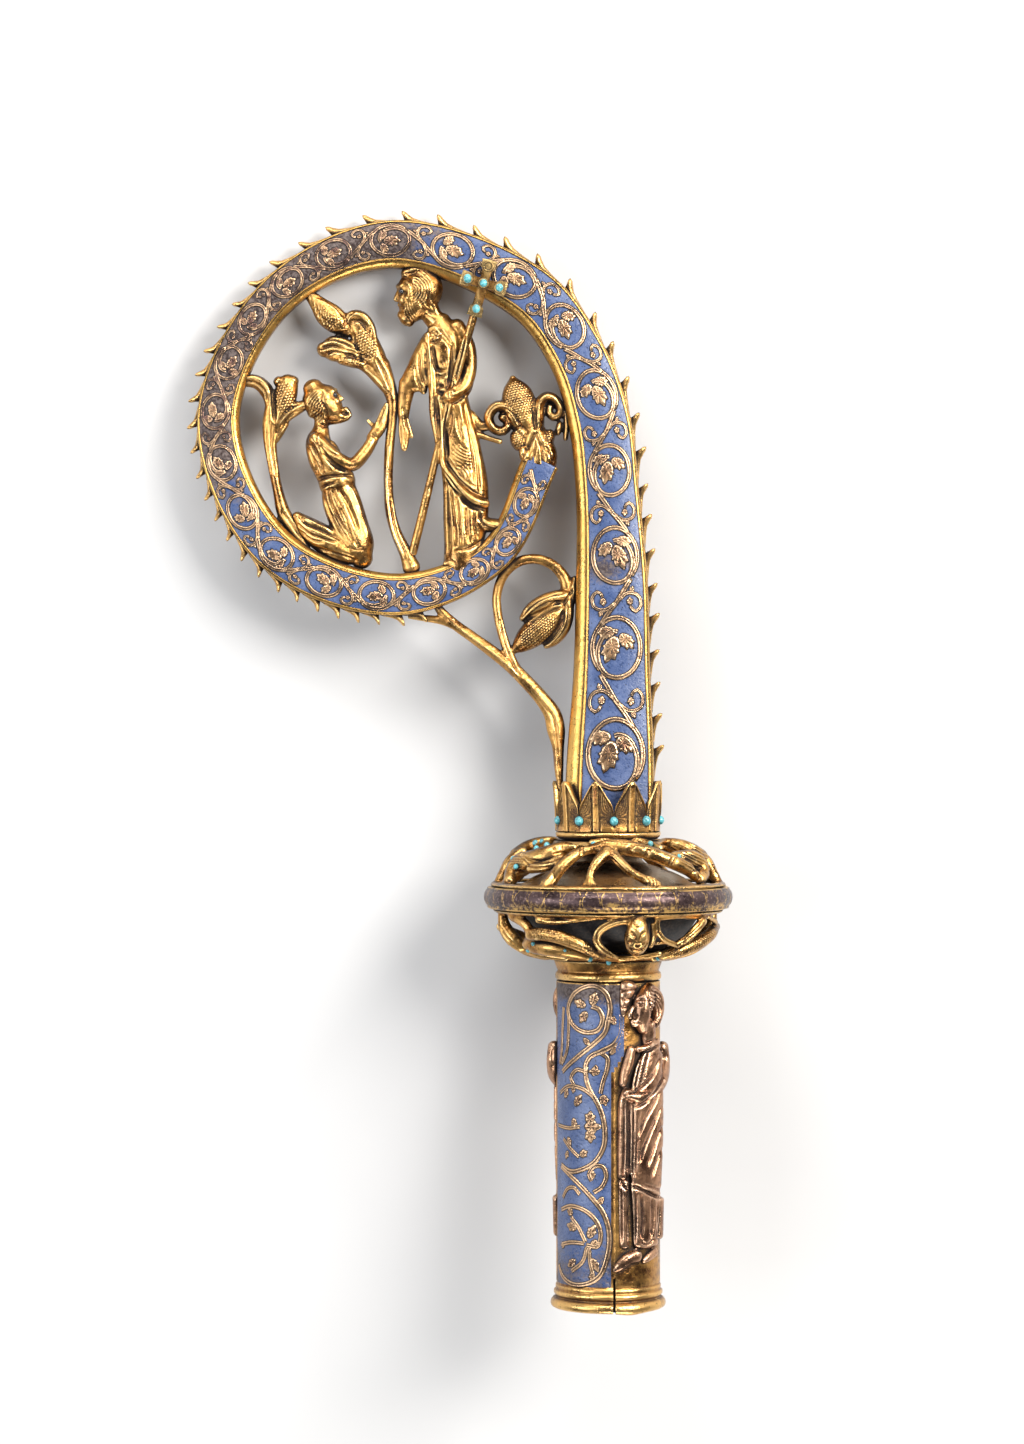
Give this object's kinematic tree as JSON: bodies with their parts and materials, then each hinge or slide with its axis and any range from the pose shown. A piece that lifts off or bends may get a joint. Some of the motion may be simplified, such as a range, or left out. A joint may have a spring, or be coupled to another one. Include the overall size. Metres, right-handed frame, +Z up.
{
  "type": "crosier head",
  "caption": "Crosier head in gilded copper and blue enamel: crested volute around a saint and a kneeling figure, leaf collar, openwork knop, and a socket with robed figures.",
  "frame": {"origin": "middle of the underside of the bounding box, as the head lies on its back on the knop's rim and the volute", "axes": "+Z up, which is the head's front; +Y from the socket's mouth towards the top of the crook; +X towards the crook's crested side"},
  "size_m": [0.1524, 0.3054, 0.0688],
  "materials": {
    "gilt": "worn fire gilding on copper, dark in the recesses",
    "worn_gilt": "gilding rubbed to pink copper on the high parts",
    "enamel": "lavender-blue champleve enamel with reserved copper stems, pitted",
    "dark_band": "dark brown-purple with engraved scales in gold",
    "core": "dull brown-grey copper",
    "turquoise": "polished turquoise enamel beads"
  },
  "bodies": {
    "root": {"crook": "enamel", "terminal_bud": "gilt", "volute_group": "gilt", "stay": "gilt", "leaf_collar": "gilt", "collar_flange": "gilt", "knop_core": "core", "knop_upper": "gilt", "knop_band": "dark_band", "knop_lower": "gilt", "neck_ring": "gilt", "socket": "enamel", "socket_figure_right": "worn_gilt", "socket_figure_left": "worn_gilt", "collar_bead_1": "turquoise", "collar_bead_2": "turquoise", "collar_bead_3": "turquoise", "collar_bead_4": "turquoise", "collar_bead_5": "turquoise", "collar_bead_6": "turquoise", "collar_bead_7": "turquoise", "collar_bead_8": "turquoise", "collar_bead_9": "turquoise", "cross_bead_centre": "turquoise", "cross_bead_left": "turquoise", "cross_bead_right": "turquoise", "cross_bead_foot": "turquoise"}
  },
  "joints": []
}
